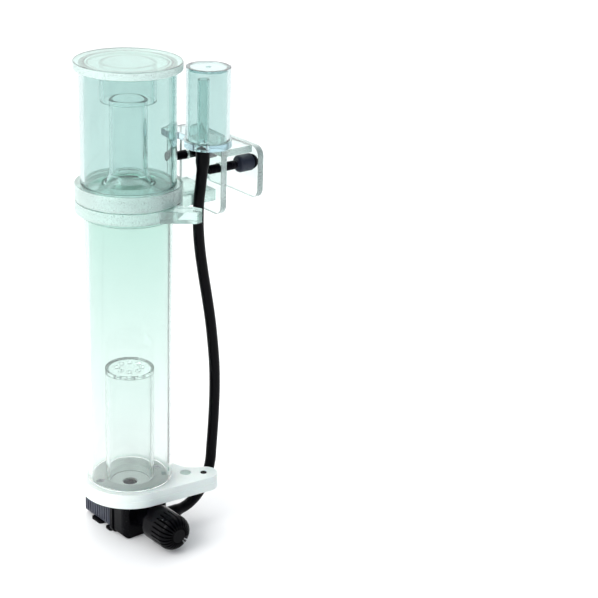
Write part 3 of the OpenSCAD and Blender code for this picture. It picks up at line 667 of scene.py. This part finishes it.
def hanger():
    """Two upright sheets with a bridge between them, which hook over the tank's glass."""
    screw_z = middle_z("clamp_screw_front")
    corner_r, square_r, thread_gap, bumper_bore_r = 6, 0.5, 0.14, 1.55
    inner_left, inner_right, outer_half, bridge_half = -19, 21.5, 24, 18
    low, high = span("hanger_inner_plate")
    holes = [circle(side * SCREW_Y, screw_z, SCREW_R + thread_gap, 64) for side in (-1, 1)]
    sawn = ("sawn_edge", lambda centre, normal: abs(normal.z) < 0.4)
    outline = sheet_outline(inner_left, inner_right, low.z, high.z, corner_r, square_r)
    plate([outline, *holes], 0, SHEET, 0.3, "root", "hanger_inner_sheet", "clear_acrylic",
          ["hanger_inner_plate"], "sheet_acrylic", sawn, upright(INNER_S))
    low, high = span("hanger_outer_plate")
    holes = [circle(side * SCREW_Y, screw_z, bumper_bore_r, 40) for side in (-1, 1)]
    outline = sheet_outline(-outer_half, outer_half, low.z, high.z, corner_r, corner_r)
    plate([outline, *holes], 0, SHEET, 0.3, "root", "hanger_outer_sheet", "clear_acrylic",
          ["hanger_outer_plate"], "sheet_acrylic", sawn, upright(OUTER_S))
    low, high = span("hanger_bridge")
    start, end = INNER_S + SHEET + SEAM, OUTER_S - SEAM
    outline = [(start, -bridge_half), (end, -bridge_half), (end, bridge_half), (start, bridge_half)]
    plate([outline], low.z, high.z, 0.3, "root", "hanger_bridge_sheet", "clear_acrylic", ["hanger_bridge"],
          "sheet_acrylic", sawn, IN_HANGER)


def middle_z(node):
    low, high = span(node)
    return (low.z + high.z) / 2


def clamp_screw(side, name):
    """A nylon screw with a real helical thread, a slotted end and the spigot that its tip turns on."""
    start, end = 43, 58.9
    spigot_r, spigot_end = 1.4, 61.4
    depth, chamfer, across = 0.42, 0.6, 48
    turns = [math.tau * k / across for k in range(across)]
    slot_half, slot_deep = 0.5, 1.6
    rows = int((end - start) / THREAD_PITCH * 8)
    shape = bmesh.new()
    rings = []
    for i in range(rows + 1):
        s = start + (end - start) * i / rows
        taper = min(1, (s - start + 0.05) / chamfer, (end - s + 0.05) / chamfer)
        ring = []
        for k, a in enumerate(turns):
            wave = abs(((s / THREAD_PITCH - k / across) % 1) * 2 - 1)
            r = SCREW_R - depth * (1 - min(1, wave * 1.5)) - 0.45 * (1 - taper)
            x, z = r * math.cos(a), r * math.sin(a)
            sink = slot_deep if i == 0 and abs(x) < slot_half else 0
            ring.append(shape.verts.new((s + sink, x, z)))
        rings.append(ring)
    for s in (end, spigot_end):
        rings.append([shape.verts.new((s, spigot_r * math.cos(a), spigot_r * math.sin(a))) for a in turns])
    for ring, after in zip(rings, rings[1:]):
        for k in range(across):
            shape.faces.new((ring[k], ring[(k + 1) % across], after[(k + 1) % across], after[k]))
    shape.faces.new(rings[-1])
    close_slotted_end(shape, rings[0], start, slot_half, slot_deep)
    bmesh.ops.translate(shape, verts=shape.verts, vec=(0, side * SCREW_Y, middle_z(name)))
    body = "screw_front" if side < 0 else "screw_rear"
    finish_piece(name + "_threaded", shape, body, "black_nylon", [name], turn=IN_HANGER, sharp=60)


def close_slotted_end(shape, ring, start, slot_half, slot_deep):
    """Closes the driven end of a screw with one slot across it."""
    raised = [v for v in ring if abs(v.co.y) >= slot_half]
    sunk = [v for v in ring if abs(v.co.y) < slot_half]
    for sign in (-1, 1):
        lobe = [v for v in raised if v.co.y * sign > 0]
        lobe.sort(key=lambda v: v.co.z)
        lip = [shape.verts.new((start + slot_deep, sign * slot_half, v.co.z)) for v in (lobe[0], lobe[-1])]
        edge = [shape.verts.new((start, sign * slot_half, v.co.z)) for v in (lobe[0], lobe[-1])]
        shape.faces.new([edge[0], *lobe, edge[1]])
        shape.faces.new([edge[0], edge[1], lip[1], lip[0]])
    sunk.sort(key=lambda v: math.atan2(v.co.z, v.co.y))
    shape.faces.new(sunk)


hanger()
clamp_screw(-1, "clamp_screw_front")
clamp_screw(1, "clamp_screw_rear")

# ---------------------------------------------------------------- CAD nodes that stay

KEPT = [
    ("base_screws", "screw_steel", 0.12), ("tip_screw", "black_nylon", 0.12),
    ("locating_pin", "black_nylon", 0),
    ("silencer_shelf", "blue_acrylic", 0.35), ("silencer_nipple", "blue_acrylic", 0),
    ("clamp_tip_front", "black_nylon", 0), ("clamp_tip_rear", "black_nylon", 0),
    ("bumpers", "grey_rubber", 0), ("bumper_screws", "black_nylon", 0),
    ("pump_motor_housing", "slate_plastic", 0.25), ("pump_back_cover", "slate_plastic", 0.3),
    ("pump_front_cover", "black_plastic", 0.4), ("pump_feet", "black_rubber", 0.3),
    ("pump_seal", "silicone", 0), ("stator_core", "core_steel", 0), ("stator_coil", "copper_coil", 0),
    ("cable_gland", "black_plastic", 0.2), ("rotor_magnet", "magnet", 0),
    ("needle_wheel", "white_plastic", 0),
    ("rotor_shaft", "ceramic", 0), ("rear_bush", "grey_rubber", 0), ("front_bush", "white_plastic", 0),
    ("inlet_neck", "black_plastic", 0.25), ("air_inlet_nipple", "black_plastic", 0),
    ("strainer_cage", "black_plastic", 0.15),
]
for node_name, slot_name, bevel_width in KEPT:
    keep_node(node_name, slot_name, bevel_width)

# ---------------------------------------------------------------- room and light


def make_floor():
    shape = bmesh.new()
    bmesh.ops.create_grid(shape, x_segments=8, y_segments=8, size=20)
    mesh = bpy.data.meshes.new("floor")
    shape.to_mesh(mesh)
    shape.free()
    mesh.materials.append(surface("floor_white", (0.95, 0.95, 0.95), 0.7, 0.05, 40, 0.0, 0.0))
    floor = bpy.data.objects.new("floor", mesh)
    bpy.context.scene.collection.objects.link(floor)


def make_world():
    """A white room that is darker towards the front right, so that edges read in the clear parts."""
    world = bpy.data.worlds.new("room")
    bpy.context.scene.world = world
    world.use_nodes = True
    nodes, links = world.node_tree.nodes, world.node_tree.links
    place = nodes.new("ShaderNodeTexCoord")
    facing = nodes.new("ShaderNodeVectorMath")
    facing.operation = "DOT_PRODUCT"
    facing.inputs[1].default_value = Vector((0.75, -0.6, 0.25)).normalized()
    shade = nodes.new("ShaderNodeValToRGB")
    low, high = shade.color_ramp.elements
    low.position, high.position = 0.0, 0.75
    low.color, high.color = (1, 1, 1, 1), (0.2, 0.22, 0.25, 1)
    links.new(place.outputs["Generated"], facing.inputs[0])
    links.new(facing.outputs["Value"], shade.inputs["Fac"])
    links.new(shade.outputs["Color"], nodes["Background"].inputs["Color"])
    nodes["Background"].inputs["Strength"].default_value = 1.42


def softbox(name, place, aim, width, height, power):
    data = bpy.data.lights.new(name, "AREA")
    data.shape = "RECTANGLE"
    data.size, data.size_y, data.energy = width, height, power
    light = bpy.data.objects.new(name, data)
    light.location = place
    light.rotation_mode = "QUATERNION"
    light.rotation_quaternion = (Vector(aim) - Vector(place)).to_track_quat("-Z", "Y")
    bpy.context.scene.collection.objects.link(light)


make_floor()
make_world()
softbox("key_left", (-0.75, -0.5, 0.8), (0, 0, 0.14), 0.5, 0.7, 4)
softbox("top_back", (0.1, 0.6, 1.1), (0, 0, 0.1), 0.8, 0.5, 2)

scene = bpy.context.scene
scene.view_settings.view_transform = "Standard"
scene.view_settings.exposure = 0.2
scene.cycles.max_bounces = 24
scene.cycles.transmission_bounces = 24
scene.cycles.transparent_max_bounces = 24
scene.cycles.sample_clamp_indirect = 8
